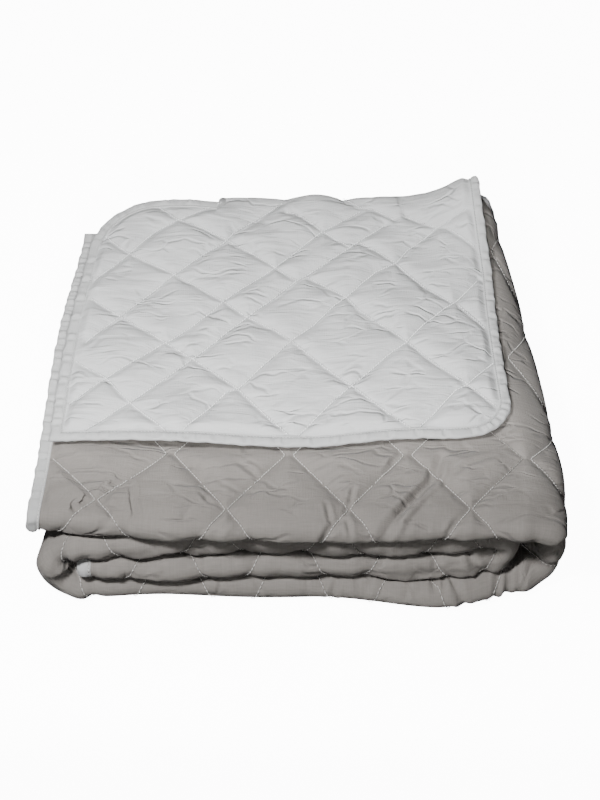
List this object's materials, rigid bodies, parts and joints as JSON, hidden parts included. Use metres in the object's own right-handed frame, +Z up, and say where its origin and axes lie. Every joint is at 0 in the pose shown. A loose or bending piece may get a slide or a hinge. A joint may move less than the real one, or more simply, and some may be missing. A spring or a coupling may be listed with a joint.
{
  "type": "folded quilted bedspread",
  "caption": "Quilted bedspread folded into a flat bundle: light face, darker backing and narrow binding, with an end turned back over the top.",
  "frame": {"origin": "on the surface it lies on, under the middle of the folded bundle's box", "axes": "+X to the right along the front fold, +Y to the back where the bound ends are, +Z up"},
  "size_m": [0.5084, 0.4506, 0.153],
  "materials": {
    "face_cloth": "matte woven cotton, light grey",
    "backing_cloth": "matte slubbed weave, taupe grey",
    "binding_tape": "matte woven tape, light grey"
  },
  "bodies": {
    "root": {"face_cloth": "face_cloth", "backing_cloth": "backing_cloth", "binding_tape": "binding_tape"}
  },
  "joints": []
}
